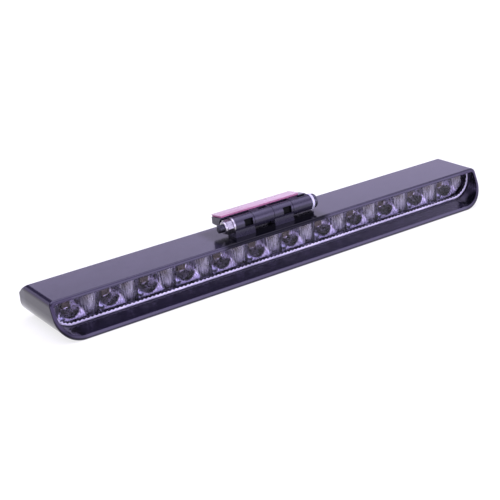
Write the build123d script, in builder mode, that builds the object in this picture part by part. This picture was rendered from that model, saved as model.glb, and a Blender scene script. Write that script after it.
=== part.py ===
from build123d import *

import os
from math import atan2, tan

# High-mount third brake light: a hooded bar of twelve lit cells with an adhesive hinge mount on top.
# The bar lies along X, shines towards -Y and stands on its flat underside; Z is up.  Millimetres.
# Origin: on the underside, halfway along the bar and halfway from the front lip to the back.

os.makedirs("parts", exist_ok=True)

# Bar
LENGTH = 305.6
HEIGHT = 23.6
TOP_DEPTH = 32.4            # flat top, front edge to seam
LIP_REACH = 9.4             # lower lip of the hood before rounding, ahead of the upper lip
TAIL_REACH = 12.1           # rear cover, behind the seam
WALL = 2.2
TOP_RADIUS = 3.0
BOTTOM_RADIUS = 15.0
RIM_RADIUS = 1.2            # outer edge of the hood's rim
TAIL_SLOPE_DROP = 9.3       # height that the sloping upper back face loses
TAIL_LOW_RADIUS = 7.0
TAIL_RIDGE_RADIUS = 4.0
TAIL_END_RADIUS = 4.8       # upright corners, seen from above

RIM_LOSS = RIM_RADIUS / tan(atan2(HEIGHT, LIP_REACH) / 2) - RIM_RADIUS      # reach rounded off the lip
DEPTH = LIP_REACH + TOP_DEPTH + TAIL_REACH - RIM_LOSS
HALF = LENGTH / 2
LIP_Y = -DEPTH / 2 - RIM_LOSS
HOOD_Y = LIP_Y + LIP_REACH
SEAM_Y = HOOD_Y + TOP_DEPTH
BACK_Y = DEPTH / 2

# Optics, front to back
CELL_COUNT = 12
CELL_PITCH = 24.8
CELL_WIDTH = 24.0
CELL_HEIGHT = 14.6
CELL_CORNER = 2.5
LAMP_Z = 13.1               # height of the row of lamps
LENS_SETBACK = 3.8          # lens face, behind the upper lip
LENS_THICKNESS = 2.5
LENS_HALF = 150.5
LENS_BOTTOM = 4.8
LENS_TOP = 21.5
LENS_RADIUS = 12.0          # lower corners
LENS_TOP_RADIUS = 1.0
LENS_CHAMFER = 0.4
WINDOW_TOP_RADIUS = 2.2
MOUTH_HALF = 150.8          # mouth of the hood recess
MOUTH_BOTTOM = 2.5
MOUTH_RADIUS = 13.0
FIT_GAP = 0.1
SEAL_THICKNESS = 0.5
SEAL_WIDTH = 1.2
SEAT_THICKNESS = 1.2
REFLECTOR_DEPTH = 10.0
THROAT = 7.2                # square hole at the back of each cell
BOARD_THICKNESS = 1.6
LED_SIZE = 5.0
LED_HEIGHT = 1.6
BOARD_HEIGHT = 14.4
BOARD_END_GAP = 6.0         # from the ends of the bar

LENS_Y = HOOD_Y + LENS_SETBACK
LENS_BACK_Y = LENS_Y + LENS_THICKNESS
SEAT_Y = LENS_BACK_Y + SEAL_THICKNESS
REFLECTOR_Y = SEAT_Y + SEAT_THICKNESS
BOARD_Y = REFLECTOR_Y + REFLECTOR_DEPTH
BOARD_BACK_Y = BOARD_Y + BOARD_THICKNESS

# Screws
COVER_SCREW_X = (-134.0, -47.0, 47.0, 134.0)
COVER_SCREW_Z = 10.0
COVER_SCREW_RADIUS = 1.5
COVER_HEAD_RADIUS = 2.7
COVER_HEAD_DEPTH = 2.5
COVER_SCREW_REACH = 16.0
TOWER_WALL = 1.3            # round the recess of each cover screw
CROSS_LENGTH = 3.0
CROSS_WIDTH = 0.7
CROSS_DEPTH = 1.1
RIB_WIDTH = 7.0
RIB_DEPTH = 9.0
RIB_HEIGHT = HEIGHT - 2 * WALL + 0.4
GROOVE_DEPTH = 0.8          # for the cover gasket
GROOVE_OUTER = 0.6          # from the outside of the bar
GROOVE_INNER = 1.6
BOARD_SCREW_X = (-124.0, -24.8, 24.8, 124.0)
BOARD_SCREW_RADIUS = 1.2
BOARD_SCREW_REACH = 6.0
BOARD_HEAD_RADIUS = 2.2
BOARD_HEAD_HEIGHT = 1.6
POST_X = (-95.0, -35.0, 35.0, 95.0)
POST_RADIUS = 2.5
POST_Z = 10.5

# Cable outlet in the back
GLAND_X = 70.0
GLAND_Z = 9.0
GLAND_RECESS_RADIUS = 6.0
GLAND_RECESS_DEPTH = 2.0
GLAND_HOLE_RADIUS = 4.0
GLAND_FLANGE = 0.8          # inner lip, past the hole's edge
GLAND_LIP_THICKNESS = 1.4
GLAND_BORE_RADIUS = 2.5

# Parts on the back of the board: width, height and thickness of each
RESISTOR_X = (-110.0, -62.0, 12.0, 110.0)
RESISTOR_SIZE = (6.4, 3.2, 0.8)
DIODE_X = 52.0
DIODE_SIZE = (4.4, 2.6, 2.2)
SOCKET_SIZE = (7.6, 5.8, 6.0)
SOCKET_WALL = 0.8
SOCKET_FLOOR = 1.2
PIN_PITCH = 2.5
PIN_WIDTH = 0.64
PIN_LENGTH = 4.0

# Hinge: bracket on the bar and leaf on the mount, sharing four knuckles
AXIS_Y = HOOD_Y + 11.0
AXIS_Z = HEIGHT + 6.8
KNUCKLE_RADIUS = 4.8
KNUCKLE_GAP = 0.3
KNUCKLE_EDGES = (-28.6, -15.0, -1.0, 13.0, 27.0)
BOLT_RADIUS = 2.45
BRACKET_BORE_RADIUS = 2.5
LEAF_BORE_RADIUS = 2.53
BASE_THICKNESS = 1.5
BASE_ENDS = (-26.0, 28.0)
BASE_FRONT = -4.5           # from the hinge axis
BASE_BACK = 15.5
FOOT_FRONT = -4.1
POCKET_WIDTH = 5.8
POCKET_START = 6.4          # from the left end of each knuckle
BRACKET_SCREW_X = (-21.0, -7.0, 7.0, 21.0)
BRACKET_SCREW_BACK = 12.0   # screw row, behind the hinge axis
BRACKET_SCREW_RADIUS = 1.25
BRACKET_HEAD_RADIUS = 2.35
BRACKET_SCREW_LENGTH = 7.0
BOSS_RADIUS = 2.8
BOSS_DEPTH = 3.0
PILOT_DEPTH = 6.7           # hole for each bracket screw, below the top face
SLOT_LENGTH = 2.6
SLOT_WIDTH = 0.6
SLOT_DEPTH = 0.8

# Leaf, adhesive pad and its release film
LEAF_TILT = 8.5             # degrees that the leaf's face falls towards the back
LEAF_FRONT = 3.0            # front edge of the leaf's face, behind the axis
LEAF_RISE = 5.1             # the same edge, above the axis
LEAF_DEPTH = 11.2
LEAF_UNDER = 1.3            # underside, below the axis
LEAF_CLEARANCE = 5.4        # radius kept free round the bracket's knuckles, washer and nut
LEAF_ENDS = (-33.8, 26.85)
LEAF_CORNER_CUT = 5.0
PAD_ENDS = (-33.6, 23.1)
PAD_THICKNESS = 1.0
FILM_THICKNESS = 0.4

# Pivot bolt set
WASHER_RADIUS = 4.9
WASHER_THICKNESS = 1.0
NUT_FLATS = 8.0
NUT_THICKNESS = 3.8
COLLAR_THICKNESS = 1.3
SPACER_THICKNESS = 1.6
SPACER_START = 27.15
HEAD_RADIUS = 4.4
HEAD_THICKNESS = 3.0
TAIL_END = -38.0


def bar_face(y, inset=0.0, half=HALF, bottom=0.0, top=HEIGHT, low_radius=BOTTOM_RADIUS, high_radius=TOP_RADIUS):
    """Upright face across the bar at depth y: square shoulders above, round corners below."""
    side = half - inset
    low = bottom + inset
    high = top - inset
    corners = [(-side, low), (side, low), (side, high), (-side, high)]
    rounds = [low_radius - inset, low_radius - inset, high_radius - inset, high_radius - inset]
    with BuildSketch(Plane.XZ.offset(-y)) as section:
        with BuildLine():
            FilletPolyline(*corners, radius=rounds, close=True)
        make_face()
    return section.sketch


def lens_face(y, margin=0.0):
    """The lens's outline at depth y, grown by margin."""
    return bar_face(y, -margin, LENS_HALF, LENS_BOTTOM, LENS_TOP, LENS_RADIUS, LENS_TOP_RADIUS)


def window_face(y):
    """The clear window inside the lens seat."""
    return bar_face(y, SEAL_WIDTH, LENS_HALF, LENS_BOTTOM, LENS_TOP, LENS_RADIUS, WINDOW_TOP_RADIUS)


def tail_solid(inset):
    """The rounded tail behind the seam, shrunk by inset: a bar end cut by its side and top outlines."""
    seam, back = SEAM_Y, BACK_Y - inset
    low, high = inset, HEIGHT - inset
    slope_end = high - TAIL_SLOPE_DROP
    with BuildPart() as tail:
        extrude(bar_face(back, inset), amount=back - seam)
        with BuildSketch(Plane.YZ):
            with BuildLine():
                side = [(seam, low), (back, low), (back, slope_end), (seam, high)]
                FilletPolyline(*side, radius=[0, TAIL_LOW_RADIUS - inset, TAIL_RIDGE_RADIUS, 0], close=True)
            make_face()
        extrude(amount=HALF, both=True, mode=Mode.INTERSECT)
        with BuildSketch(Plane.XY):
            with BuildLine():
                half = HALF - inset
                plan = [(-half, seam), (half, seam), (half, back), (-half, back)]
                FilletPolyline(*plan, radius=[0, 0, TAIL_END_RADIUS - inset, TAIL_END_RADIUS - inset], close=True)
            make_face()
        extrude(amount=HEIGHT, mode=Mode.INTERSECT)
    return tail.part


def along_y(x, z, y):
    """Workplane at depth y whose normal points to the back, centred on (x, z)."""
    return Plane(origin=(x, y, z), x_dir=(1, 0, 0), z_dir=(0, 1, 0))


def across_x(x):
    """Workplane square to the hinge axis at station x, centred on the axis."""
    return Plane(origin=(x, AXIS_Y, AXIS_Z), x_dir=(0, 1, 0), z_dir=(1, 0, 0))


def knuckle_span(index):
    """Start and length of one knuckle, with half of the running gap taken off each shared end."""
    start = KNUCKLE_EDGES[index] + (KNUCKLE_GAP / 2 if index > 0 else 0.0)
    end = KNUCKLE_EDGES[index + 1] - KNUCKLE_GAP / 2
    return start, end - start


def save(piece, name):
    """Label a finished piece and write its STEP file."""
    piece.label = name
    export_step(piece, f"parts/{name}.step")


# ---------------------------------------------------------------- hooded housing
with BuildPart() as housing:
    extrude(bar_face(SEAM_Y), amount=SEAM_Y - LIP_Y)
    rim_plane = Plane(origin=(0, LIP_Y, 0), x_dir=(1, 0, 0), z_dir=(0, -HEIGHT, LIP_REACH))
    split(bisect_by=rim_plane, keep=Keep.BOTTOM)
    rim_face = housing.faces().filter_by(lambda face: abs(rim_plane.to_local_coords(face.center()).Z) < 0.01)
    fillet(rim_face.edges(), RIM_RADIUS)
    # hood recess, its floor falling towards the lower lip
    mouth_top = LENS_TOP + FIT_GAP
    recess_mouth = bar_face(LIP_Y - 1, 0, MOUTH_HALF, MOUTH_BOTTOM, mouth_top, MOUTH_RADIUS, LENS_TOP_RADIUS)
    loft([lens_face(LENS_Y, FIT_GAP).face(), recess_mouth.face()], mode=Mode.SUBTRACT)
    # lens pocket, window and the tube behind the lens seat
    extrude(lens_face(SEAT_Y, FIT_GAP), amount=SEAT_Y - LENS_Y, mode=Mode.SUBTRACT)
    extrude(window_face(REFLECTOR_Y), amount=SEAT_THICKNESS, mode=Mode.SUBTRACT)
    extrude(bar_face(SEAM_Y, WALL), amount=SEAM_Y - REFLECTOR_Y, mode=Mode.SUBTRACT)
    # screw ribs across the tube
    with Locations(*[(x, SEAM_Y - RIB_DEPTH / 2, HEIGHT / 2) for x in COVER_SCREW_X]):
        Box(RIB_WIDTH, RIB_DEPTH, RIB_HEIGHT)
    with BuildSketch(along_y(0, COVER_SCREW_Z, SEAM_Y)):
        with Locations(*[(x, 0) for x in COVER_SCREW_X]):
            Circle(COVER_SCREW_RADIUS)
    extrude(amount=-RIB_DEPTH + 1.0, mode=Mode.SUBTRACT)
    # bosses under the top wall for the bracket's screws
    with BuildSketch(Plane.XY.offset(HEIGHT - WALL)):
        with Locations(*[(x, AXIS_Y + BRACKET_SCREW_BACK) for x in BRACKET_SCREW_X]):
            Circle(BOSS_RADIUS)
    extrude(amount=-BOSS_DEPTH)
    with BuildSketch(Plane.XY.offset(HEIGHT)):
        with Locations(*[(x, AXIS_Y + BRACKET_SCREW_BACK) for x in BRACKET_SCREW_X]):
            Circle(BRACKET_SCREW_RADIUS)
    extrude(amount=-PILOT_DEPTH, mode=Mode.SUBTRACT)
    # groove for the cover gasket
    extrude(bar_face(SEAM_Y, GROOVE_OUTER), amount=GROOVE_DEPTH, mode=Mode.SUBTRACT)
    extrude(bar_face(SEAM_Y, GROOVE_INNER) - bar_face(SEAM_Y, WALL), amount=GROOVE_DEPTH)
    with Locations(*[(x, SEAM_Y - GROOVE_DEPTH / 2, HEIGHT / 2) for x in COVER_SCREW_X]):
        Box(RIB_WIDTH, GROOVE_DEPTH, RIB_HEIGHT)
    with BuildSketch(along_y(0, COVER_SCREW_Z, SEAM_Y)):
        with Locations(*[(x, 0) for x in COVER_SCREW_X]):
            Circle(COVER_SCREW_RADIUS)
    extrude(amount=-1.0, mode=Mode.SUBTRACT)
save(housing.part, "housing")

# ---------------------------------------------------------------- rear cover and its gasket
with BuildPart() as rear_cover:
    add(tail_solid(0.0))
    add(tail_solid(WALL), mode=Mode.SUBTRACT)
    # screw towers, posts that hold the board, and the thickened cable outlet
    with BuildSketch(along_y(0, COVER_SCREW_Z, SEAM_Y)):
        with Locations(*[(x, 0) for x in COVER_SCREW_X]):
            Circle(COVER_HEAD_RADIUS + TOWER_WALL)
    extrude(amount=TAIL_REACH - 1.0)
    with BuildSketch(along_y(0, POST_Z, BOARD_BACK_Y)):
        with Locations(*[(x, 0) for x in POST_X]):
            Circle(POST_RADIUS)
    extrude(amount=BACK_Y - 1.0 - BOARD_BACK_Y)
    with BuildSketch(along_y(GLAND_X, GLAND_Z, BACK_Y - GLAND_RECESS_DEPTH - WALL)):
        Circle(GLAND_RECESS_RADIUS + 1.5)
    extrude(amount=GLAND_RECESS_DEPTH + 1.0)
    # clearance holes and recesses
    with BuildSketch(along_y(0, COVER_SCREW_Z, SEAM_Y)):
        with Locations(*[(x, 0) for x in COVER_SCREW_X]):
            Circle(COVER_SCREW_RADIUS + FIT_GAP)
    extrude(amount=TAIL_REACH, mode=Mode.SUBTRACT)
    with BuildSketch(along_y(0, COVER_SCREW_Z, BACK_Y)):
        with Locations(*[(x, 0) for x in COVER_SCREW_X]):
            Circle(COVER_HEAD_RADIUS + FIT_GAP)
    extrude(amount=-COVER_HEAD_DEPTH, mode=Mode.SUBTRACT)
    with BuildSketch(along_y(GLAND_X, GLAND_Z, BACK_Y)):
        Circle(GLAND_RECESS_RADIUS)
    extrude(amount=-GLAND_RECESS_DEPTH, mode=Mode.SUBTRACT)
    with BuildSketch(along_y(GLAND_X, GLAND_Z, BACK_Y)):
        Circle(GLAND_HOLE_RADIUS)
    extrude(amount=-GLAND_RECESS_DEPTH - WALL, mode=Mode.SUBTRACT)
save(rear_cover.part, "rear_cover")

with BuildPart() as cover_gasket:
    extrude(bar_face(SEAM_Y, GROOVE_OUTER) - bar_face(SEAM_Y, GROOVE_INNER), amount=GROOVE_DEPTH)
save(cover_gasket.part, "cover_gasket")

with BuildPart() as cover_screws:
    with BuildSketch(along_y(0, COVER_SCREW_Z, BACK_Y - COVER_HEAD_DEPTH)):
        with Locations(*[(x, 0) for x in COVER_SCREW_X]):
            Circle(COVER_SCREW_RADIUS)
    extrude(amount=-COVER_SCREW_REACH)
    with BuildSketch(along_y(0, COVER_SCREW_Z, BACK_Y - COVER_HEAD_DEPTH)):
        with Locations(*[(x, 0) for x in COVER_SCREW_X]):
            Circle(COVER_HEAD_RADIUS)
    extrude(amount=COVER_HEAD_DEPTH - 0.5)
    fillet(cover_screws.faces().sort_by(Axis.Y)[-4:].edges(), 0.7)
    with BuildSketch(along_y(0, COVER_SCREW_Z, BACK_Y - 0.5)):
        with Locations(*[(x, 0) for x in COVER_SCREW_X]):
            Rectangle(CROSS_LENGTH, CROSS_WIDTH)
            Rectangle(CROSS_WIDTH, CROSS_LENGTH)
    extrude(amount=-CROSS_DEPTH, mode=Mode.SUBTRACT)
save(cover_screws.part, "cover_screws")

with BuildPart() as cable_gland:
    with BuildSketch(along_y(GLAND_X, GLAND_Z, BACK_Y - GLAND_RECESS_DEPTH)):
        Circle(GLAND_RECESS_RADIUS - 0.4)
    extrude(amount=GLAND_RECESS_DEPTH - 0.4)
    fillet(cable_gland.faces().sort_by(Axis.Y)[-1].edges(), 0.6)
    with BuildSketch(along_y(GLAND_X, GLAND_Z, BACK_Y - GLAND_RECESS_DEPTH)):
        Circle(GLAND_HOLE_RADIUS)
    extrude(amount=-WALL)
    with BuildSketch(along_y(GLAND_X, GLAND_Z, BACK_Y - GLAND_RECESS_DEPTH - WALL)):
        Circle(GLAND_HOLE_RADIUS + GLAND_FLANGE)
    extrude(amount=-GLAND_LIP_THICKNESS)
    with BuildSketch(along_y(GLAND_X, GLAND_Z, BACK_Y)):
        Circle(GLAND_BORE_RADIUS)
    extrude(amount=-2 * (GLAND_RECESS_DEPTH + WALL), mode=Mode.SUBTRACT)
save(cable_gland.part, "cable_gland")

# ---------------------------------------------------------------- lens, seal, reflector, board
with BuildPart() as lens:
    extrude(lens_face(LENS_BACK_Y), amount=LENS_THICKNESS)
    chamfer(lens.faces().sort_by(Axis.Y)[0].edges(), LENS_CHAMFER)
save(lens.part, "lens")

with BuildPart() as lens_seal:
    extrude(lens_face(SEAT_Y) - window_face(SEAT_Y), amount=SEAL_THICKNESS)
save(lens_seal.part, "lens_seal")

with BuildPart() as reflector:
    extrude(bar_face(BOARD_Y, WALL + 0.6), amount=REFLECTOR_DEPTH)
    for cell in range(CELL_COUNT):
        cell_x = (cell - (CELL_COUNT - 1) / 2) * CELL_PITCH
        with BuildSketch(along_y(cell_x, LAMP_Z, REFLECTOR_Y)):
            RectangleRounded(CELL_WIDTH, CELL_HEIGHT, CELL_CORNER)
        with BuildSketch(along_y(cell_x, LAMP_Z, BOARD_Y)):
            RectangleRounded(THROAT, THROAT, 1.0)
        loft(mode=Mode.SUBTRACT)
    with BuildSketch(along_y(0, LAMP_Z, BOARD_Y)):
        with Locations(*[(x, 0) for x in BOARD_SCREW_X]):
            Circle(BOARD_SCREW_RADIUS)
    extrude(amount=-BOARD_SCREW_REACH, mode=Mode.SUBTRACT)
save(reflector.part, "reflector")

with BuildPart() as circuit_board:
    with BuildSketch(along_y(0, LAMP_Z, BOARD_Y)):
        RectangleRounded(LENGTH - 2 * BOARD_END_GAP, BOARD_HEIGHT, 1.5)
        with Locations(*[(x, 0) for x in BOARD_SCREW_X]):
            Circle(BOARD_SCREW_RADIUS + FIT_GAP, mode=Mode.SUBTRACT)
    extrude(amount=BOARD_THICKNESS)
save(circuit_board.part, "circuit_board")

for cell in range(CELL_COUNT):
    cell_x = (cell - (CELL_COUNT - 1) / 2) * CELL_PITCH
    with BuildPart() as led:
        with BuildSketch(along_y(cell_x, LAMP_Z, BOARD_Y)):
            RectangleRounded(LED_SIZE, LED_SIZE, 0.4)
        extrude(amount=-LED_HEIGHT)
        with BuildSketch(along_y(cell_x, LAMP_Z, BOARD_Y - LED_HEIGHT)):
            Circle(LED_SIZE / 2 - 0.5)
        extrude(amount=0.3, mode=Mode.SUBTRACT)
    save(led.part, f"led_{cell + 1:02d}")

with BuildPart() as board_screws:
    with BuildSketch(along_y(0, LAMP_Z, BOARD_BACK_Y)):
        with Locations(*[(x, 0) for x in BOARD_SCREW_X]):
            Circle(BOARD_SCREW_RADIUS)
    extrude(amount=-BOARD_THICKNESS - BOARD_SCREW_REACH + 0.5)
    with BuildSketch(along_y(0, LAMP_Z, BOARD_BACK_Y)):
        with Locations(*[(x, 0) for x in BOARD_SCREW_X]):
            Circle(BOARD_HEAD_RADIUS)
    extrude(amount=BOARD_HEAD_HEIGHT)
save(board_screws.part, "board_screws")

# ballast resistors, one for each string of three lamps, and the parts at the supply end
for index, resistor_x in enumerate(RESISTOR_X, start=1):
    with BuildPart() as resistor:
        with BuildSketch(along_y(resistor_x, LAMP_Z, BOARD_BACK_Y)):
            Rectangle(RESISTOR_SIZE[0], RESISTOR_SIZE[1])
        extrude(amount=RESISTOR_SIZE[2])
    save(resistor.part, f"resistor_{index}")

with BuildPart() as diode:
    with BuildSketch(along_y(DIODE_X, LAMP_Z, BOARD_BACK_Y)):
        Rectangle(DIODE_SIZE[0], DIODE_SIZE[1])
    extrude(amount=DIODE_SIZE[2])
    chamfer(diode.edges().group_by(Axis.Y)[-1], 0.3)
save(diode.part, "polarity_diode")

with BuildPart() as supply_socket:
    with BuildSketch(along_y(GLAND_X, GLAND_Z, BOARD_BACK_Y)):
        Rectangle(SOCKET_SIZE[0], SOCKET_SIZE[1])
    extrude(amount=SOCKET_SIZE[2])
    with BuildSketch(along_y(GLAND_X, GLAND_Z, BOARD_BACK_Y + SOCKET_SIZE[2])):
        Rectangle(SOCKET_SIZE[0] - 2 * SOCKET_WALL, SOCKET_SIZE[1] - 2 * SOCKET_WALL)
    extrude(amount=SOCKET_FLOOR - SOCKET_SIZE[2], mode=Mode.SUBTRACT)
    with BuildSketch(along_y(GLAND_X, GLAND_Z, BOARD_BACK_Y + SOCKET_FLOOR)):
        with GridLocations(PIN_PITCH, 1, 2, 1):
            Rectangle(PIN_WIDTH, PIN_WIDTH)
    extrude(amount=PIN_LENGTH)
save(supply_socket.part, "supply_socket")

# ---------------------------------------------------------------- hinge bracket on the bar
with BuildPart() as hinge_bracket:
    with BuildSketch(Plane.XY.offset(HEIGHT)):
        with BuildLine():
            left, right = BASE_ENDS
            front, back = AXIS_Y + BASE_FRONT, AXIS_Y + BASE_BACK
            base = [(left, front), (right, front), (right, back), (left, back)]
            FilletPolyline(*base, radius=[0.8, 0.8, 3.0, 3.0], close=True)
        make_face()
    extrude(amount=BASE_THICKNESS)
    for index in (0, 2):
        start, width = knuckle_span(index)
        with BuildSketch(across_x(start)):
            Circle(KNUCKLE_RADIUS)
            with Locations(((FOOT_FRONT + KNUCKLE_RADIUS) / 2, (HEIGHT - AXIS_Z) / 2)):
                Rectangle(KNUCKLE_RADIUS - FOOT_FRONT, AXIS_Z - HEIGHT)
        extrude(amount=width)
        with Locations((start + POCKET_START + POCKET_WIDTH / 2, AXIS_Y - KNUCKLE_RADIUS, AXIS_Z + 0.7)):
            Box(POCKET_WIDTH, 2.8, 4.2, mode=Mode.SUBTRACT)
    for index in (0, 2):
        start, width = knuckle_span(index)
        with BuildSketch(across_x(start)):
            Circle(BRACKET_BORE_RADIUS)
        extrude(amount=width, mode=Mode.SUBTRACT)
    with Locations(*[(x, AXIS_Y + BRACKET_SCREW_BACK, HEIGHT + BASE_THICKNESS) for x in BRACKET_SCREW_X]):
        CounterSinkHole(BRACKET_SCREW_RADIUS, BRACKET_HEAD_RADIUS, BASE_THICKNESS, counter_sink_angle=90)
save(hinge_bracket.part, "hinge_bracket")

with BuildPart() as bracket_screws:
    head_height = BRACKET_HEAD_RADIUS - BRACKET_SCREW_RADIUS
    for screw_x in BRACKET_SCREW_X:
        seat = Plane(origin=(screw_x, AXIS_Y + BRACKET_SCREW_BACK, HEIGHT + BASE_THICKNESS), z_dir=(0, 0, -1))
        with BuildSketch(seat):
            Circle(BRACKET_HEAD_RADIUS)
        with BuildSketch(seat.offset(head_height)):
            Circle(BRACKET_SCREW_RADIUS)
        loft()
        with BuildSketch(seat.offset(head_height)):
            Circle(BRACKET_SCREW_RADIUS)
        extrude(amount=BRACKET_SCREW_LENGTH - BASE_THICKNESS - head_height)
        with BuildSketch(seat):
            Rectangle(SLOT_LENGTH, SLOT_WIDTH)
            Rectangle(SLOT_WIDTH, SLOT_LENGTH)
        extrude(amount=SLOT_DEPTH, mode=Mode.SUBTRACT)
save(bracket_screws.part, "bracket_screws")

# ---------------------------------------------------------------- mount leaf, adhesive pad, release film
leaf_face = Plane(
    origin=(0, AXIS_Y + LEAF_FRONT, AXIS_Z + LEAF_RISE), x_dir=(1, 0, 0), z_dir=(0, 0, 1)
).rotated((-LEAF_TILT, 0, 0))
leaf_back = leaf_face.from_local_coords((0, LEAF_DEPTH, 0)) - Vector(0, AXIS_Y, AXIS_Z)

with BuildPart() as mount_leaf:
    with BuildSketch(across_x(LEAF_ENDS[0])):
        with BuildLine():
            Polyline(
                (LEAF_FRONT, -LEAF_UNDER),
                (leaf_back.Y, -LEAF_UNDER),
                (leaf_back.Y, leaf_back.Z),
                (LEAF_FRONT, LEAF_RISE),
                close=True,
            )
        make_face()
    extrude(amount=LEAF_ENDS[1] - LEAF_ENDS[0])
    # back corners cut off at the right end, eased elsewhere
    upright = mount_leaf.edges().filter_by(Axis.Z).group_by(Axis.Y)[-1].sort_by(Axis.X)
    chamfer(upright[-1], LEAF_CORNER_CUT)
    chamfer(upright[0], 1.0)
    chamfer(mount_leaf.faces().sort_by(Axis.Z)[0].edges().sort_by(Axis.X)[0], 0.9)
    # room for the bracket's knuckles, the washer and the nut
    for start, edge in ((LEAF_ENDS[0], KNUCKLE_EDGES[1]), (KNUCKLE_EDGES[2] - KNUCKLE_GAP / 2, KNUCKLE_EDGES[3])):
        with BuildSketch(across_x(start)):
            Circle(LEAF_CLEARANCE)
        extrude(amount=edge + KNUCKLE_GAP / 2 - start, mode=Mode.SUBTRACT)
    for index in (1, 3):
        start, width = knuckle_span(index)
        with BuildSketch(across_x(start)):
            Circle(KNUCKLE_RADIUS)
            with BuildLine():
                Polyline(
                    (0, KNUCKLE_RADIUS),
                    (LEAF_FRONT, LEAF_RISE),
                    (LEAF_FRONT + 2.6, LEAF_RISE - 0.5),
                    (LEAF_FRONT + 2.6, -LEAF_UNDER),
                    (LEAF_FRONT + 0.4, -LEAF_UNDER - 2.0),
                    (0, 0),
                    close=True,
                )
            make_face()
        extrude(amount=width)
        with Locations((start + POCKET_START + POCKET_WIDTH / 2, AXIS_Y + 1.4, AXIS_Z + KNUCKLE_RADIUS)):
            Box(POCKET_WIDTH, 2.6, 1.8, mode=Mode.SUBTRACT)
        with BuildSketch(across_x(start)):
            Circle(LEAF_BORE_RADIUS)
        extrude(amount=width, mode=Mode.SUBTRACT)
save(mount_leaf.part, "mount_leaf")

pad_centre_x = (PAD_ENDS[0] + PAD_ENDS[1]) / 2
with BuildPart() as adhesive_pad:
    with BuildSketch(leaf_face.shift_origin(leaf_face.from_local_coords((pad_centre_x, LEAF_DEPTH / 2, 0)))):
        RectangleRounded(PAD_ENDS[1] - PAD_ENDS[0] - 0.6, LEAF_DEPTH - 0.4, 1.0)
    extrude(amount=PAD_THICKNESS)
save(adhesive_pad.part, "adhesive_pad")

film_face = leaf_face.offset(PAD_THICKNESS)
with BuildPart() as release_film:
    with BuildSketch(film_face.shift_origin(film_face.from_local_coords((pad_centre_x, LEAF_DEPTH / 2, 0)))):
        RectangleRounded(PAD_ENDS[1] - PAD_ENDS[0], LEAF_DEPTH, 1.0)
    extrude(amount=FILM_THICKNESS)
save(release_film.part, "release_film")

# ---------------------------------------------------------------- pivot bolt, spacer, washer and lock nut
washer_start = KNUCKLE_EDGES[0] - WASHER_THICKNESS
nut_start = washer_start - NUT_THICKNESS
head_start = SPACER_START + SPACER_THICKNESS

with BuildPart() as pivot_bolt:
    with BuildSketch(across_x(TAIL_END)):
        Circle(BOLT_RADIUS)
    extrude(amount=head_start - TAIL_END)
    chamfer(pivot_bolt.faces().sort_by(Axis.X)[0].edges(), 0.5)
    with BuildSketch(across_x(head_start)):
        Circle(HEAD_RADIUS)
    extrude(amount=HEAD_THICKNESS)
    fillet(pivot_bolt.faces().sort_by(Axis.X)[-1].edges(), 1.4)
    with BuildSketch(across_x(head_start + HEAD_THICKNESS)):
        RegularPolygon(1.5, 6, major_radius=False)
    extrude(amount=-1.7, mode=Mode.SUBTRACT)
save(pivot_bolt.part, "pivot_bolt")

with BuildPart() as nylon_spacer:
    with BuildSketch(across_x(SPACER_START)):
        Circle(WASHER_RADIUS)
        Circle(BRACKET_BORE_RADIUS, mode=Mode.SUBTRACT)
    extrude(amount=SPACER_THICKNESS)
    fillet(nylon_spacer.edges().filter_by(GeomType.CIRCLE).group_by(SortBy.RADIUS)[-1], 0.3)
save(nylon_spacer.part, "nylon_spacer")

with BuildPart() as flat_washer:
    with BuildSketch(across_x(washer_start)):
        Circle(WASHER_RADIUS)
        Circle(BRACKET_BORE_RADIUS, mode=Mode.SUBTRACT)
    extrude(amount=WASHER_THICKNESS)
save(flat_washer.part, "flat_washer")

with BuildPart() as lock_nut:
    with BuildSketch(across_x(nut_start)):
        RegularPolygon(NUT_FLATS / 2, 6, major_radius=False)
    extrude(amount=NUT_THICKNESS)
    with BuildSketch(across_x(nut_start)):
        Circle(NUT_FLATS / 2 - 0.2)
    extrude(amount=-COLLAR_THICKNESS)
    fillet(lock_nut.faces().sort_by(Axis.X)[0].edges(), 0.6)
    with BuildSketch(across_x(nut_start - COLLAR_THICKNESS)):
        Circle(BOLT_RADIUS)
    extrude(amount=NUT_THICKNESS + COLLAR_THICKNESS, mode=Mode.SUBTRACT)
save(lock_nut.part, "lock_nut")
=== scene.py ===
import math

import bpy
from mathutils import Matrix, Vector


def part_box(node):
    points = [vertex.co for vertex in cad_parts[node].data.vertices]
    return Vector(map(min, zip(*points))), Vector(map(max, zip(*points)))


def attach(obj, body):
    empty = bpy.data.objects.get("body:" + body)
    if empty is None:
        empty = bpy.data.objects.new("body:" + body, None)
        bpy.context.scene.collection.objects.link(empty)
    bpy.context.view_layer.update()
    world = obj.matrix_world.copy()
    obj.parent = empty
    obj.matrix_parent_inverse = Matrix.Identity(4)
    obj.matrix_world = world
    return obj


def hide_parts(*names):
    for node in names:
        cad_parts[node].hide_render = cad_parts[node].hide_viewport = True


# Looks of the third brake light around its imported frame.  Metres, Z up, the bar along X, lamps facing -Y.

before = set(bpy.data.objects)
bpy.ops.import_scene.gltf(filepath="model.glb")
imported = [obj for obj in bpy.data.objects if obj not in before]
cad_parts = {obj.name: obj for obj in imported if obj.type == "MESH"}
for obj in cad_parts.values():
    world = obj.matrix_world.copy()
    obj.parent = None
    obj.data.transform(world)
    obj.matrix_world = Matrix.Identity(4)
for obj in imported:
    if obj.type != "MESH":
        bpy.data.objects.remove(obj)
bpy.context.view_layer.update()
MM = 0.001

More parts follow.
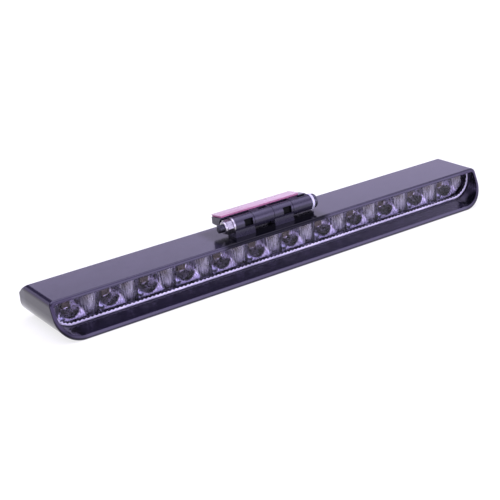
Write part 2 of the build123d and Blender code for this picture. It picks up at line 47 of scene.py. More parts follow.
# The view of the object
AZIMUTH = math.radians(-31.9)
ELEVATION = math.radians(20.97)
ROLL = math.radians(-5.36)
DISTANCE = 0.7345
FOCAL_OVER_WIDTH = 2.4884
SENSOR_WIDTH = 36.0
AIM_RIGHT = -0.0196         # the view's centre, from the middle of the top front edge
AIM_UP = -0.0128

# Optics
CELL_COUNT = 12
CELL_PITCH = 24.8 * MM
CELL_STEPS = 120            # mesh columns in one cell
CELL_ROWS = 44
BOWL_DEPTH = 6.6 * MM
FOOT_DROP = 1.2 * MM        # how far the cells' foot lies below the lens
APRON_RISE = 0.5 * MM       # depth of a cell at its foot
APRON_SLOPE = 0.42          # how fast a cell deepens above its foot
FLUTE_PITCH = 1.24 * MM
FLUTE_DEPTH = 0.07 * MM
FLUTE_FAN = 0.2             # how much the flutes spread towards the top
WELL_RADIUS = 7.0 * MM      # the hollow round each lamp
WELL_FLAT = 0.38            # share of that radius left flat for the lamp
DIMPLE_PLACE = -0.5         # across the cell, from -1 to 1
DIMPLE_DROP = 5.0 * MM      # below the lamp
DIMPLE_RADIUS = 2.6 * MM
DIMPLE_RISE = 0.8 * MM
LENS_CORNER = 12.0 * MM
LENS_TOP_CORNER = 1.0 * MM
EDGE_WIDTH = 1.8 * MM       # frosted edge of the lens
EDGE_DEPTH = 0.5 * MM
SCALLOP = 1.3 * MM
SCALLOP_SHARE = 0.55        # width of the edge between two scallops, as a share
HATCH_ACROSS = 60.0         # radians in half a cell
HATCH_UP = 2400.0           # radians in a metre

# Hinge, from its own axis and along the bar
AXIS_Y = (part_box("flat_washer")[0].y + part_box("flat_washer")[1].y) / 2
AXIS_Z = (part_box("flat_washer")[0].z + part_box("flat_washer")[1].z) / 2
BRACKET_POCKETS = (-22.2 * MM, 5.5 * MM)       # left ends of the dark pockets
LEAF_POCKETS = (-8.5 * MM, 19.5 * MM)
POCKET_WIDTH = 5.9 * MM
LEAF_KNUCKLES = ((-15.0 * MM, -1.0 * MM), (13.0 * MM, 27.0 * MM))
BOLT_RADIUS = 2.43 * MM
THREAD_PITCH = 0.8 * MM
THREAD_DEPTH = 0.4 * MM
BOLT_HEAD = 3.0 * MM
HEAD_ROUND = 1.4 * MM
SOCKET_RADIUS = 0.7 * BOLT_RADIUS

# Hood
HOOD_WALL = 1.5 * MM        # left unshaded at its rim

# Tape and film
PAD_CORNER = 1.0 * MM
PAD_THICKNESS = 1.0 * MM
FILM_THICKNESS = 0.4 * MM
FILM_WAVE = 0.03 * MM
WAVES = (310.0, 420.0)      # radians in a metre, along and across the film
SLAB_SHARE = 0.992          # a slab's depth, as a share of its CAD box

# Light
GLOW = (1.0, 0.905, 1.31, 1.0)      # the studio's violet cast
TINT = (0.86, 0.83, 1.0, 1.0)       # gloss of the black plastics
SKY_STRENGTH = 3.2
SKY_BEHIND = ((0, 0.37), (23.5, 0.37), (26, 0.015), (44, 0.015), (54, 0.9), (90, 1.0))
SKY_AHEAD = ((0, 1.0), (20, 1.0), (30, 0.35), (46, 0.30), (56, 0.8), (90, 0.9))
FLOOR_GLOW = 0.74
FLOOR_GAP = 0.02 * MM       # below the object, so that no two faces coincide
FLOOR_HALF = 8.0

# Tones
UNLIT = (0.002, 0.002, 0.003, 1)
UNLIT_GLOSS = (0.03, 0.03, 0.035, 1)
# painted shade: dimmed gloss for the ends' reflections, darkest low down
END_SHADED_GLOSS = (0.62, 0.53, 0.82, 1)
LOW_END_SHADED_GLOSS = (0.32, 0.27, 0.44, 1)
MIRROR_TONES = ((0.20, 0.19, 0.23, 1), (0.58, 0.56, 0.64, 1))
# painted shade in the hollow round each lamp
WELL_SHADE_TONES = ((0.13, 0.12, 0.13, 1), (0.46, 0.44, 0.49, 1))
# painted reflection: the brown hatch in each cell
HATCH_REFLECTION_TONES = ((0.05, 0.042, 0.042, 1), (0.22, 0.19, 0.19, 1))
# painted shade low in the cells
FOOT_SHADE_TONE = (0.10, 0.095, 0.14, 1)
# painted highlight: a bright streak in each cell
STREAK_HIGHLIGHT_TONE = (0.95, 0.93, 0.97, 1)
# painted highlight on the dome
DOME_HIGHLIGHT_TONE = (0.26, 0.26, 0.35, 1)


# ---------------------------------------------------------------- node helpers
def new_material(name):
    """An empty node material with its Principled shader."""
    mat = bpy.data.materials.new(name)
    mat.use_nodes = True
    shader = mat.node_tree.nodes["Principled BSDF"]
    return mat, mat.node_tree, shader


def link(tree, source, target):
    tree.links.new(source, target)


def object_coords(tree, stretch=(1.0, 1.0, 1.0)):
    """Object-space coordinates, stretched along each axis."""
    coords = tree.nodes.new("ShaderNodeTexCoord")
    mapping = tree.nodes.new("ShaderNodeMapping")
    mapping.inputs["Scale"].default_value = stretch
    link(tree, coords.outputs["Object"], mapping.inputs["Vector"])
    return mapping.outputs["Vector"]


def noise(tree, coords, scale, detail=4.0, rough=0.55):
    """Noise whose scale counts features in one metre."""
    node = tree.nodes.new("ShaderNodeTexNoise")
    node.inputs["Scale"].default_value = scale
    node.inputs["Detail"].default_value = detail
    node.inputs["Roughness"].default_value = rough
    link(tree, coords, node.inputs["Vector"])
    return node.outputs["Fac"]


def spread(tree, value, low, high, start=0.3, end=0.7):
    """value from start..end laid onto low..high."""
    node = tree.nodes.new("ShaderNodeMapRange")
    node.inputs["From Min"].default_value = start
    node.inputs["From Max"].default_value = end
    node.inputs["To Min"].default_value = low
    node.inputs["To Max"].default_value = high
    link(tree, value, node.inputs["Value"])
    return node.outputs["Result"]


def spread_smooth(tree, value, low, high, start, end):
    """Like spread, with eased ends."""
    node = tree.nodes.new("ShaderNodeMapRange")
    node.interpolation_type = "SMOOTHSTEP"
    node.inputs["From Min"].default_value = start
    node.inputs["From Max"].default_value = end
    node.inputs["To Min"].default_value = low
    node.inputs["To Max"].default_value = high
    link(tree, value, node.inputs["Value"])
    return node.outputs["Result"]


def math_node(tree, operation, value, *others):
    """One math node; others are plain numbers or sockets."""
    node = tree.nodes.new("ShaderNodeMath")
    node.operation = operation
    for socket, item in zip(node.inputs, (value,) + others):
        if isinstance(item, (int, float)):
            socket.default_value = item
        else:
            link(tree, item, socket)
    return node.outputs["Value"]


def hump(tree, value, centre, width):
    """1 at the centre, falling smoothly to 0 at width on either side."""
    offset = math_node(tree, "ABSOLUTE", math_node(tree, "SUBTRACT", value, centre))
    return spread_smooth(tree, offset, 1.0, 0.0, 0.0, width)


def blend_colours(tree, factor, first, second):
    """Colour between first and second; either may be a socket."""
    node = tree.nodes.new("ShaderNodeMix")
    node.data_type = "RGBA"
    link(tree, factor, node.inputs["Factor"])
    for socket, colour in ((node.inputs["A"], first), (node.inputs["B"], second)):
        if isinstance(colour, tuple):
            socket.default_value = colour
        else:
            link(tree, colour, socket)
    return node.outputs["Result"]


def bump(tree, shader, height, distance, strength=1.0):
    """Bump from height, distance in metres."""
    node = tree.nodes.new("ShaderNodeBump")
    node.inputs["Distance"].default_value = distance
    node.inputs["Strength"].default_value = strength
    link(tree, height, node.inputs["Height"])
    link(tree, node.outputs["Normal"], shader.inputs["Normal"])


def moulded(name, dark, light, rough, grain=2600.0, grain_depth=0.02 * MM, specular=0.5):
    """Moulded plastic: mottled colour, uneven gloss and a fine grained skin."""
    mat, tree, shader = new_material(name)
    coords = object_coords(tree)
    patches = noise(tree, coords, 60.0)
    fine = noise(tree, coords, grain, 3.0)
    mottled = blend_colours(tree, spread(tree, patches, 0.0, 1.0), dark, light)
    link(tree, mottled, shader.inputs["Base Color"])
    link(tree, spread(tree, noise(tree, coords, 180.0), *rough), shader.inputs["Roughness"])
    shader.inputs["Specular IOR Level"].default_value = specular
    shader.inputs["Specular Tint"].default_value = TINT
    bump(tree, shader, fine, grain_depth)
    return mat


def metal(name, dark, light, rough, brushed=(1.0, 1.0, 1.0)):
    """Plated or blackened metal with streaked gloss and small dull spots."""
    mat, tree, shader = new_material(name)
    coords = object_coords(tree, brushed)
    spots = noise(tree, coords, 900.0, 6.0)
    link(tree, blend_colours(tree, spread(tree, spots, 0.0, 1.0), dark, light), shader.inputs["Base Color"])
    link(tree, spread(tree, noise(tree, coords, 2500.0), *rough), shader.inputs["Roughness"])
    shader.inputs["Metallic"].default_value = 1.0
    bump(tree, shader, spots, 0.01 * MM, 0.5)
    return mat


def cell_place(tree, across):
    """Sockets for the place in its cell: u along the bar from -1 to 1, and the height."""
    split = tree.nodes.new("ShaderNodeSeparateXYZ")
    link(tree, across, split.inputs["Vector"])
    turns = math_node(tree, "MULTIPLY_ADD", split.outputs["X"], 1.0 / CELL_PITCH, CELL_COUNT / 2)
    u = math_node(tree, "MULTIPLY_ADD", math_node(tree, "FRACT", turns), 2.0, -1.0)
    return u, split.outputs["Z"]


def inside_box(tree, coords, low, high, soft):
    """1 inside the box from low to high, easing to 0 over the soft distance outside it."""
    split = tree.nodes.new("ShaderNodeSeparateXYZ")
    link(tree, coords, split.inputs["Vector"])
    inside = None
    for axis in range(3):
        value = split.outputs[axis]
        above = spread_smooth(tree, value, 0.0, 1.0, low[axis] - soft, low[axis])
        below = spread_smooth(tree, value, 1.0, 0.0, high[axis], high[axis] + soft)
        both = math_node(tree, "MULTIPLY", above, below)
        inside = both if inside is None else math_node(tree, "MULTIPLY", inside, both)
    return inside


def paint_shade(kind, boxes, soft, amount=1.0, gloss=UNLIT_GLOSS):
    """Painted shade: fade a plastic's colour and gloss towards dark tones inside the boxes, standing for the
    shade in hollows and for dark reflections.
    """
    tree = MATERIALS[kind].node_tree
    shader = tree.nodes["Principled BSDF"]
    coords = object_coords(tree)
    mask = None
    for low, high in boxes:
        inside = inside_box(tree, coords, low, high, soft)
        mask = inside if mask is None else math_node(tree, "MAXIMUM", mask, inside)
    mask = math_node(tree, "MULTIPLY", mask, amount)
    base = shader.inputs["Base Color"]
    link(tree, blend_colours(tree, mask, base.links[0].from_socket, UNLIT), base)
    tint = shader.inputs["Specular Tint"]
    first = tint.links[0].from_socket if tint.links else tuple(tint.default_value)
    link(tree, blend_colours(tree, mask, first, gloss), tint)


def lamp_height():
    """Height of the lamps' middle."""
    low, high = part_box("led_01")
    return (low.z + high.z) / 2


def patch(tree, place, u, rise, half_u, half_z):
    """A soft-edged patch in every cell, centred at u and at rise above the lamp."""
    across, height = place
    along = hump(tree, across, u, half_u)
    upright = hump(tree, height, lamp_height() + rise, half_z)
    return math_node(tree, "MULTIPLY", along, upright)


def hatched(tree, place):
    """Painted reflection: fine slanted lines, brown and dark."""
    across, height = place
    climb = math_node(tree, "MULTIPLY", height, HATCH_UP)
    slant = math_node(tree, "MULTIPLY_ADD", across, HATCH_ACROSS, climb)
    lines = spread(tree, math_node(tree, "SINE", slant), 0.0, 1.0, -1.0, 1.0)
    return blend_colours(tree, lines, *HATCH_REFLECTION_TONES)


def metallised(name):
    """Vacuum-metallised cells with painted reflections: fluted flanks, painted shade in the hollow round each
    lamp and low in the cells, a painted brown hatch, a painted highlight streak and a painted highlight on
    the dome.
    """
    mat, tree, shader = new_material(name)
    coords = object_coords(tree)
    place = cell_place(tree, coords)
    streaks = noise(tree, object_coords(tree, (1.0, 1.0, 0.12)), 1500.0, 3.0)
    cloud = noise(tree, coords, 230.0, 5.0)
    colour = blend_colours(tree, spread(tree, streaks, 0.0, 1.0, 0.38, 0.62), *MIRROR_TONES)
    # painted reflection: a brown hatch high on the right of each cell
    shade = patch(tree, place, 0.72, 4.5 * MM, 0.40, 6.0 * MM)
    colour = blend_colours(tree, shade, colour, hatched(tree, place))
    # painted shade: the cells darkened towards their foot
    foot = spread_smooth(tree, place[1], 0.9, 0.0, 4.5 * MM, 11.0 * MM)
    colour = blend_colours(tree, foot, colour, FOOT_SHADE_TONE)
    # painted shade: dim tones in the hollow round each lamp, patchy with noise
    hollow = patch(tree, place, 0.15, -2.0 * MM, 0.70, 8.0 * MM)
    well_shade = math_node(tree, "MULTIPLY_ADD", cloud, 1.1, math_node(tree, "SUBTRACT", hollow, 0.55))
    dim = blend_colours(tree, spread(tree, streaks, 0.0, 1.0, 0.42, 0.58), *WELL_SHADE_TONES)
    colour = blend_colours(tree, spread_smooth(tree, well_shade, 0.0, 1.0, 0.0, 0.85), colour, dim)
    # painted highlight: a bright streak above the lamp
    streak_highlight = patch(tree, place, 0.42, 4.0 * MM, 0.14, 3.6 * MM)
    colour = blend_colours(tree, streak_highlight, colour, STREAK_HIGHLIGHT_TONE)
    # painted highlight: a bluish bright patch on the dome
    dome = patch(tree, place, DIMPLE_PLACE, -DIMPLE_DROP, 0.24, DIMPLE_RADIUS)
    colour = blend_colours(tree, dome, colour, DOME_HIGHLIGHT_TONE)
    link(tree, colour, shader.inputs["Base Color"])
    link(tree, spread(tree, cloud, 0.20, 0.36), shader.inputs["Roughness"])
    shader.inputs["Metallic"].default_value = 1.0
    bump(tree, shader, streaks, 0.03 * MM, 0.6)
    return mat


def clear_plastic(name):
    """Clear polycarbonate: a tinted see-through sheet with a faint, uneven gloss over it."""
    mat, tree, shader = new_material(name)
    coords = object_coords(tree)
    smears = noise(tree, coords, 220.0, 5.0)
    sheet = blend_colours(tree, smears, (0.80, 0.79, 0.84, 1), (0.90, 0.89, 0.94, 1))
    link(tree, sheet, shader.inputs["Base Color"])
    link(tree, spread(tree, smears, 0.06, 0.16), shader.inputs["Roughness"])
    shader.inputs["Metallic"].default_value = 1.0
    clear = tree.nodes.new("ShaderNodeBsdfTransparent")
    clear.inputs["Color"].default_value = (0.90, 0.89, 0.93, 1.0)
    sheen = tree.nodes.new("ShaderNodeFresnel")
    sheen.inputs["IOR"].default_value = 1.22
    mix = tree.nodes.new("ShaderNodeMixShader")
    link(tree, sheen.outputs["Fac"], mix.inputs["Fac"])
    link(tree, clear.outputs["BSDF"], mix.inputs[1])
    link(tree, shader.outputs["BSDF"], mix.inputs[2])
    link(tree, mix.outputs["Shader"], tree.nodes["Material Output"].inputs["Surface"])
    return mat


def light_table(name):
    """The floor's matt white, with a little light of its own."""
    mat = moulded(name, (0.22, 0.23, 0.20, 1), (0.24, 0.25, 0.22, 1), (0.85, 0.95), 20.0, 0.0, 0.0)
    shader = mat.node_tree.nodes["Principled BSDF"]
    shader.inputs["Emission Color"].default_value = (1.0, 1.0, 1.0, 1.0)
    shader.inputs["Emission Strength"].default_value = FLOOR_GLOW
    return mat


HINGE_TONES = ((0.011, 0.010, 0.018, 1), (0.017, 0.015, 0.026, 1))

MATERIALS = {
    "housing": moulded("satin_black_abs", (0.009, 0.008, 0.016, 1), (0.013, 0.011, 0.022, 1), (0.08, 0.14)),
    "bracket": moulded("satin_black_nylon", *HINGE_TONES, (0.22, 0.34)),
    "leaf": moulded("leaf_black_nylon", *HINGE_TONES, (0.22, 0.34)),
    "rubber": moulded(
        "black_rubber", (0.012, 0.012, 0.014, 1), (0.022, 0.022, 0.025, 1), (0.6, 0.75), grain=1500.0
    ),
    "nylon": moulded(
        "white_nylon", (0.32, 0.32, 0.38, 1), (0.45, 0.45, 0.52, 1), (0.38, 0.5), grain=1800.0
    ),
    "board": moulded(
        "green_laminate", (0.01, 0.09, 0.03, 1), (0.02, 0.15, 0.05, 1), (0.25, 0.4), grain=1200.0
    ),
    "part": moulded(
        "component_black", (0.02, 0.02, 0.02, 1), (0.04, 0.04, 0.04, 1), (0.4, 0.5), grain=3000.0
    ),
    "socket": moulded(
        "socket_ivory", (0.68, 0.65, 0.55, 1), (0.78, 0.75, 0.66, 1), (0.35, 0.45), grain=1500.0
    ),
    "led": moulded(
        "led_package", (0.07, 0.06, 0.05, 1), (0.12, 0.10, 0.07, 1), (0.4, 0.5), grain=3000.0, specular=0.15
    ),
    "foam": moulded(
        "foam_tape", (0.26, 0.09, 0.15, 1), (0.38, 0.14, 0.24, 1), (0.6, 0.8),
        grain=2200.0, grain_depth=0.08 * MM,
    ),
    "film": moulded(
        "pink_film", (0.34, 0.22, 0.25, 1), (0.42, 0.29, 0.31, 1), (0.24, 0.38),
        grain=700.0, grain_depth=0.03 * MM,
    ),
    "frosted": moulded(
        "frosted_edge", (0.30, 0.29, 0.36, 1), (0.62, 0.60, 0.70, 1), (0.2, 0.4), grain=1500.0
    ),
    "zinc": metal("zinc_plate", (0.20, 0.195, 0.21, 1), (0.56, 0.54, 0.57, 1), (0.20, 0.38), (1.0, 4.0, 4.0)),
    "black_steel": metal("black_oxide", (0.04, 0.04, 0.05, 1), (0.09, 0.09, 0.11, 1), (0.32, 0.5)),
    "mirror": metallised("vacuum_metal"),
    "lens": clear_plastic("clear_polycarbonate"),
    "floor": light_table("light_table"),
}

NODE_MATERIALS = {
    "housing": "housing", "rear_cover": "housing", "hinge_bracket": "bracket", "mount_leaf": "leaf",
    "cover_gasket": "rubber", "lens_seal": "rubber", "cable_gland": "rubber",
    "nylon_spacer": "nylon", "flat_washer": "zinc", "lock_nut": "zinc", "board_screws": "zinc",
    "cover_screws": "black_steel", "bracket_screws": "black_steel",
    "circuit_board": "board", "polarity_diode": "part", "supply_socket": "socket",
}


def shade_hinge():
    """Paint shade into the pockets in the hinge's knuckles, and onto the bracket below the leaf's knuckles.
    """
    low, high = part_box("hinge_bracket")
    leaf_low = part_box("mount_leaf")[0]
    pocket_low, pocket_high = AXIS_Z - 1.4 * MM, AXIS_Z + 2.8 * MM
    pockets = [
        ((x, low.y + 0.4 * MM, pocket_low), (x + POCKET_WIDTH, AXIS_Y - 2 * MM, pocket_high))
        for x in BRACKET_POCKETS
    ]
    # painted shade on the bracket below the leaf's knuckles
    feet = [
        ((start, low.y - 1 * MM, low.z - 1 * MM), (end, high.y, leaf_low.z + 0.2 * MM))
        for start, end in LEAF_KNUCKLES
    ]
    paint_shade("bracket", pockets + feet, 0.2 * MM)
    tops = [
        ((x, AXIS_Y - 0.2 * MM, AXIS_Z + 2 * MM), (x + POCKET_WIDTH, AXIS_Y + 2.8 * MM, AXIS_Z + 4.3 * MM))
        for x in LEAF_POCKETS
    ]
    paint_shade("leaf", tops, 0.2 * MM)


def shade_housing():
    """Paint shade: darken the top face round the hinge as a painted dark reflection of the hinge, darken the
    inside of the hood, and paint the ends' reflections darker.
    """
    low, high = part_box("hinge_bracket")
    front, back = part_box("housing")
    # painted dark reflection of the hinge on the top face round it
    round_hinge = (
        (low.x - 9 * MM, low.y - 5.5 * MM, back.z - 1 * MM),
        (high.x + 1 * MM, high.y, back.z + 1 * MM),
    )
    paint_shade("housing", [round_hinge], 7 * MM, 0.96)
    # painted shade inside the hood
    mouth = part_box("lens")[1].x + 0.4 * MM
    hood = ((-mouth, front.y + HOOD_WALL, 1.2 * MM), (mouth, 0, back.z - 1.8 * MM))
    paint_shade("housing", [hood], 0.5 * MM, 0.45)
    # painted shade: the ends' colour and reflections darkened, most of all low down
    for top, soft, gloss in ((back.z, 1 * MM, END_SHADED_GLOSS), (7 * MM, 5 * MM, LOW_END_SHADED_GLOSS)):
        behind_rim = front.y + 3 * MM
        top -= 1.5 * MM
        ends = [
            ((front.x - 1 * MM, behind_rim, front.z), (front.x + 13 * MM, back.y, top)),
            ((back.x - 13 * MM, behind_rim, front.z), (back.x + 1 * MM, back.y, top)),
        ]
        paint_shade("housing", ends, soft, 1.0, gloss)


def dress_nodes():
    """Give each CAD node that stays its material."""
    for name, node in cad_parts.items():
        kind = NODE_MATERIALS.get(name)
        if name.startswith("led_"):
            kind = "led"
        if name.startswith("resistor_"):
            kind = "part"
        if kind:
            node.data.materials.clear()
            node.data.materials.append(MATERIALS[kind])


def new_piece(name, vertices, faces, material, smooth=True):
    """A mesh object from plain lists, with one material."""
    mesh = bpy.data.meshes.new(name)
    mesh.from_pydata(vertices, [], faces)
    mesh.materials.append(MATERIALS[material])
    for polygon in mesh.polygons:
        polygon.use_smooth = smooth
    mesh.update()
    piece = bpy.data.objects.new(name, mesh)
    bpy.context.scene.collection.objects.link(piece)
    return piece


def loft_rings(rings):
    """Vertices and faces of a tube through rings of equal length, capped at both ends."""
    count = len(rings[0])
    vertices = [point for ring in rings for point in ring]
    faces = []
    for i in range(len(rings) - 1):
        for j in range(count):
            k = (j + 1) % count
            faces.append((i * count + j, i * count + k, (i + 1) * count + k, (i + 1) * count + j))
    faces.append(tuple(range(count - 1, -1, -1)))
    last = (len(rings) - 1) * count
    faces.append(tuple(range(last, last + count)))
    return vertices, faces


# ---------------------------------------------------------------- lens
def rounded_span(x, half, low, high, inset):
    """Lowest and highest z of the lens's outline at station x, drawn in by inset."""
    def rise(radius):
        past = max(0.0, abs(x) - (half - radius))
        reach = radius - inset
        return radius - math.sqrt(max(0.0, reach * reach - past * past))
    return low + rise(LENS_CORNER), high - rise(LENS_TOP_CORNER)


def clear_lens():
    """The clear sheet of the lens, inside its frosted edge."""
    low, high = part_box("lens")
    half = high.x - EDGE_WIDTH
    columns = CELL_COUNT * 24
    rings = []
    for i in range(columns + 1):
        x = -half + 2 * half * i / columns
        z_low, z_high = rounded_span(x, high.x, low.z, high.z, EDGE_WIDTH)
        z_high = max(z_high, z_low + 0.1 * MM)
        face = low.y + EDGE_DEPTH * 0.4
        rings.append([(x, face, z_low), (x, face, z_high), (x, high.y, z_high), (x, high.y, z_low)])
    piece = new_piece("clear_lens", *loft_rings(rings), "lens", smooth=False)
    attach(piece, "lamp")
    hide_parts("lens")


def outline_path(half, low, high, inset, steps=14):
    """Points down the left end of the lens, along its lower edge and up the right end."""
    reach = LENS_CORNER - inset
    centre_z = low + LENS_CORNER
    path = [(-half + inset, high - LENS_TOP_CORNER)]
    for k in range(steps + 1):
        angle = math.pi + math.pi / 2 * k / steps
        path.append((-half + LENS_CORNER + reach * math.cos(angle), centre_z + reach * math.sin(angle)))
    straight = int(round(2 * (half - LENS_CORNER) / SCALLOP))
    for k in range(1, straight):
        path.append((-half + LENS_CORNER + 2 * (half - LENS_CORNER) * k / straight, low + inset))
    for k in range(steps + 1):
        angle = -math.pi / 2 + math.pi / 2 * k / steps
        path.append((half - LENS_CORNER + reach * math.cos(angle), centre_z + reach * math.sin(angle)))
    path.append((half - inset, high - LENS_TOP_CORNER))
    return path


def lens_edge():
    """The frosted, scalloped edge that carries light round the lens."""
    low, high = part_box("lens")
    outer = outline_path(high.x, low.z, high.z, 0.03 * MM)
    inner = outline_path(high.x, low.z, high.z, EDGE_WIDTH)
    rings = []
    for k, ((xo, zo), (xi, zi)) in enumerate(zip(outer, inner)):
        reach = 1.0 if k % 2 else SCALLOP_SHARE
        xi = xo + (xi - xo) * reach
        zi = zo + (zi - zo) * reach
        front = low.y + 0.02 * MM
        mid = ((xo + xi) / 2, (zo + zi) / 2)
        rings.append([
            (xo, front + EDGE_DEPTH, zo), (xo, front + EDGE_DEPTH * 0.3, zo), (mid[0], front, mid[1]),
            (xi, front + EDGE_DEPTH * 0.3, zi), (xi, front + EDGE_DEPTH, zi),
        ])
    piece = new_piece("lens_edge", *loft_rings(rings), "frosted")
    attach(piece, "lamp")


# ---------------------------------------------------------------- reflector
def bowl_depth(u, rise):
    """Depth of a cell at u, from -1 to 1, and at rise above its foot: an arched bowl over a sloping apron."""
    arch = BOWL_DEPTH * (0.5 + 0.5 * math.cos(math.pi * u))
    apron = APRON_RISE + APRON_SLOPE * rise
    gap = abs(arch - apron)
    return min(arch, apron) - max(0.0, 1.0 * MM - gap) ** 2 / (4.0 * MM)


def well(u, z, lamp_z):
    """How far the round hollow of the lamp reaches at a place, from 0 to 1."""
    away = math.hypot(u * CELL_PITCH / 2, z - lamp_z) / WELL_RADIUS
    t = min(1.0, max(0.0, (1.0 - away) / (1.0 - WELL_FLAT)))
    return t * t * (3.0 - 2.0 * t)


def dimple(u, z, lamp_z):
    """Rise of the polished dome low on the left flank of a cell."""
    away = math.hypot((u - DIMPLE_PLACE) * CELL_PITCH / 2, z - lamp_z + DIMPLE_DROP) / DIMPLE_RADIUS
    return DIMPLE_RISE * max(0.0, 1.0 - away * away) ** 2


def reflector_cells():
    """A row of fluted bowls, one for each lamp, in a bright metallised strip."""
    low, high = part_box("reflector")
    lamp_z = lamp_height()
    deep = high.y - 1.1 * MM
    shallow = low.y + 0.4 * MM
    top = high.z - 0.2 * MM
    lens_low, lens_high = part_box("lens")
    half_x = CELL_COUNT * CELL_PITCH / 2
    columns = CELL_COUNT * CELL_STEPS
    vertices, faces = [], []
    for i in range(columns + 1):
        x = -half_x + 2 * half_x * i / columns
        u = ((x + half_x) / CELL_PITCH) % 1.0 * 2 - 1
        if i in (0, columns):
            u = -1.0
        bottom = rounded_span(x, lens_high.x, lens_low.z, lens_high.z, 0.0)[0] - FOOT_DROP
        for j in range(CELL_ROWS + 1):
            z = bottom + (top - bottom) * j / CELL_ROWS
            fan = u * CELL_PITCH / 2 * (1.0 + FLUTE_FAN * (z - lamp_z) / CELL_PITCH)
            flute = FLUTE_DEPTH * math.cos(2 * math.pi * fan / FLUTE_PITCH)
            y = shallow + bowl_depth(u, z - bottom) + flute - dimple(u, z, lamp_z)
            y += (deep - y) * well(u, z, lamp_z)
            vertices.append((x, max(low.y + 0.1 * MM, y), z))
    for i in range(columns):
        for j in range(CELL_ROWS):
            a = i * (CELL_ROWS + 1) + j
            faces.append((a, a + CELL_ROWS + 1, a + CELL_ROWS + 2, a + 1))
    piece = new_piece("reflector_cells", vertices, faces, "mirror")
    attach(piece, "lamp")
    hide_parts("reflector")


# ---------------------------------------------------------------- pivot bolt
def ring_round_axis(x, radius, steps=36):
    """A ring of points round the hinge axis at x."""
    turns = [2 * math.pi * k / steps for k in range(steps)]
    return [(x, AXIS_Y + radius * math.cos(turn), AXIS_Z + radius * math.sin(turn)) for turn in turns]


def threaded_bolt():
    """The pivot bolt: threads on its tail, a plain shank and a round head with a socket."""
    low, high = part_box("pivot_bolt")
    nut_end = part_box("lock_nut")[0].x
    profile = [(low.x, BOLT_RADIUS - 2 * THREAD_DEPTH)]
    x = low.x + THREAD_PITCH / 2
    while x < nut_end + THREAD_PITCH:
        profile.append((x, BOLT_RADIUS))
        profile.append((x + THREAD_PITCH / 2, BOLT_RADIUS - THREAD_DEPTH))
        x += THREAD_PITCH
    head = high.x - BOLT_HEAD
    head_radius = (high.z - low.z) / 2
    profile += [(x, BOLT_RADIUS), (head, BOLT_RADIUS), (head, head_radius)]
    for k in range(6):
        turn = math.pi / 2 * k / 5
        radius = head_radius - HEAD_ROUND * (1 - math.cos(turn))
        profile.append((high.x - HEAD_ROUND * (1 - math.sin(turn)), radius))
    profile += [(high.x, SOCKET_RADIUS), (high.x - BOLT_HEAD / 2, SOCKET_RADIUS)]
    rings = [ring_round_axis(x, radius) for x, radius in profile]
    piece = new_piece("threaded_bolt", *loft_rings(rings), "black_steel", smooth=False)
    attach(piece, "lamp")
    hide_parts("pivot_bolt")


# ---------------------------------------------------------------- adhesive pad and film
def leaf_directions(cad):
    """Up from a slab's broad face, and towards its back edge."""
    normal = max(cad.data.polygons, key=lambda polygon: polygon.area).normal.copy()
    if normal.z < 0:
        normal = -normal
    back = normal.cross(Vector((1, 0, 0)))
    if back.y < 0:
        back = -back
    return normal, back


def rounded_ring(half_x, half_y, corner, inset, steps=6):
    """Points round a rectangle with rounded corners, drawn in by inset."""
    ring = []
    for sx, sy in ((1, -1), (1, 1), (-1, 1), (-1, -1)):
        start = math.atan2(sy, sx) - math.pi / 4
        for k in range(steps + 1):
            angle = start + math.pi / 2 * k / steps
            x = sx * (half_x - corner) + (corner - inset) * math.cos(angle)
            y = sy * (half_y - corner) + (corner - inset) * math.sin(angle)
            ring.append((x, y))
    return ring


def slab_on_leaf(name, node, material, thickness, lift):
    """A soft slab with rounded corners lying on the tilted leaf, standing where its CAD node is."""
    low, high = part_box(node)
    normal, back = leaf_directions(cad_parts[node])
    centre = (low + high) / 2
    half_x = (high.x - low.x) / 2
    half_y = (high.y - low.y) / 2 / back.y * SLAB_SHARE - thickness / 2 * normal.y / back.y
    edge = thickness * 0.35
    rings = []
    for inset, height in ((edge, -0.5), (0.0, -0.2), (0.0, 0.2), (edge, 0.5)):
        ring = []
        for x, y in rounded_ring(half_x, half_y, PAD_CORNER, inset):
            wave = lift * math.sin(x * WAVES[0]) * math.cos(y * WAVES[1])
            along = Vector((x, 0, 0)) + back * y
            ring.append(tuple(centre + along + normal * (height * thickness + wave)))
        rings.append(ring)
    piece = new_piece(name, *loft_rings(rings), material)
    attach(piece, "mount")
    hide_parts(node)


# ---------------------------------------------------------------- stage, lights, camera
def sky_ramp(tree, height, stops):
    """Tones up the sky, each stop an elevation in degrees and a strength; height is its sine."""
    ramp = tree.nodes.new("ShaderNodeValToRGB")
    elements = ramp.color_ramp.elements
    while len(elements) < len(stops):
        elements.new(0.5)
    for element, (elevation, strength) in zip(elements, stops):
        element.position = math.sin(math.radians(elevation))
        element.color = (strength, strength, strength, 1.0)
    link(tree, height, ramp.inputs["Fac"])
    return ramp.outputs["Color"]


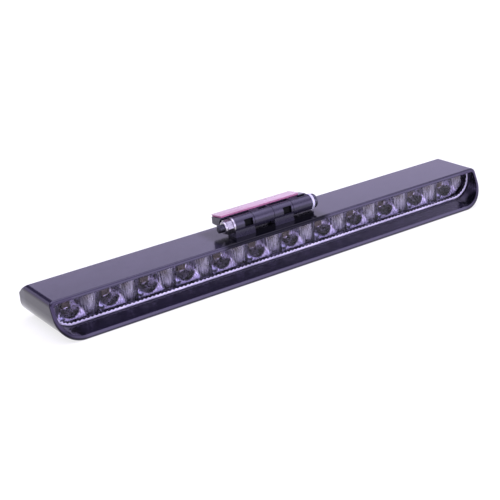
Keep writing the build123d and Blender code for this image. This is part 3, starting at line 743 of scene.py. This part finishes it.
def build_sky():
    """A light tent: a pale band behind the object, a dark gap above it and soft light overhead."""
    world = bpy.data.worlds.new("studio")
    bpy.context.scene.world = world
    world.use_nodes = True
    tree = world.node_tree
    background = tree.nodes["Background"]
    coords = tree.nodes.new("ShaderNodeTexCoord")
    split = tree.nodes.new("ShaderNodeSeparateXYZ")
    link(tree, coords.outputs["Generated"], split.inputs["Vector"])
    height = split.outputs["Z"]
    side = spread(tree, split.outputs["Y"], 0.0, 1.0, 0.1, -0.3)
    behind = sky_ramp(tree, height, SKY_BEHIND)
    ahead = sky_ramp(tree, height, SKY_AHEAD)
    sky = blend_colours(tree, side, behind, ahead)
    tinted = tree.nodes.new("ShaderNodeMix")
    tinted.data_type = "RGBA"
    tinted.blend_type = "MULTIPLY"
    tinted.inputs["Factor"].default_value = 1.0
    tinted.inputs["B"].default_value = GLOW
    link(tree, sky, tinted.inputs["A"])
    link(tree, tinted.outputs["Result"], background.inputs["Color"])
    background.inputs["Strength"].default_value = SKY_STRENGTH


def build_floor():
    """A pale floor with a little light of its own, just below the object."""
    signs = ((-1, -1), (1, -1), (1, 1), (-1, 1))
    corners = [(sx * FLOOR_HALF, sy * FLOOR_HALF, -FLOOR_GAP) for sx, sy in signs]
    floor = new_piece("floor", corners, [(0, 1, 2, 3)], "floor")


def build_camera():
    """The camera, aimed from the middle of the bar's top front edge."""
    lens_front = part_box("lens")[0].y
    housing_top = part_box("housing")[1].z
    edge = Vector((0, lens_front - 3.8 * MM, housing_top))
    turn = (
        Matrix.Rotation(AZIMUTH, 3, "Z")
        @ Matrix.Rotation(math.pi / 2 - ELEVATION, 3, "X")
        @ Matrix.Rotation(ROLL, 3, "Z")
    )
    right, up, back = turn.col[0], turn.col[1], turn.col[2]
    data = bpy.data.cameras.new("camera")
    data.sensor_width = SENSOR_WIDTH
    data.lens = FOCAL_OVER_WIDTH * SENSOR_WIDTH
    data.clip_start = 0.01
    camera = bpy.data.objects.new("camera", data)
    place = edge + right * AIM_RIGHT + up * AIM_UP + back * DISTANCE
    camera.matrix_world = Matrix.Translation(place) @ turn.to_4x4()
    bpy.context.scene.collection.objects.link(camera)
    bpy.context.scene.camera = camera


build_camera()
build_sky()
build_floor()
shade_hinge()
shade_housing()
dress_nodes()
clear_lens()
lens_edge()
reflector_cells()
threaded_bolt()
slab_on_leaf("foam_pad", "adhesive_pad", "foam", PAD_THICKNESS, 0.0)
slab_on_leaf("peel_film", "release_film", "film", FILM_THICKNESS, FILM_WAVE)
bpy.context.scene.view_settings.view_transform = "Standard"
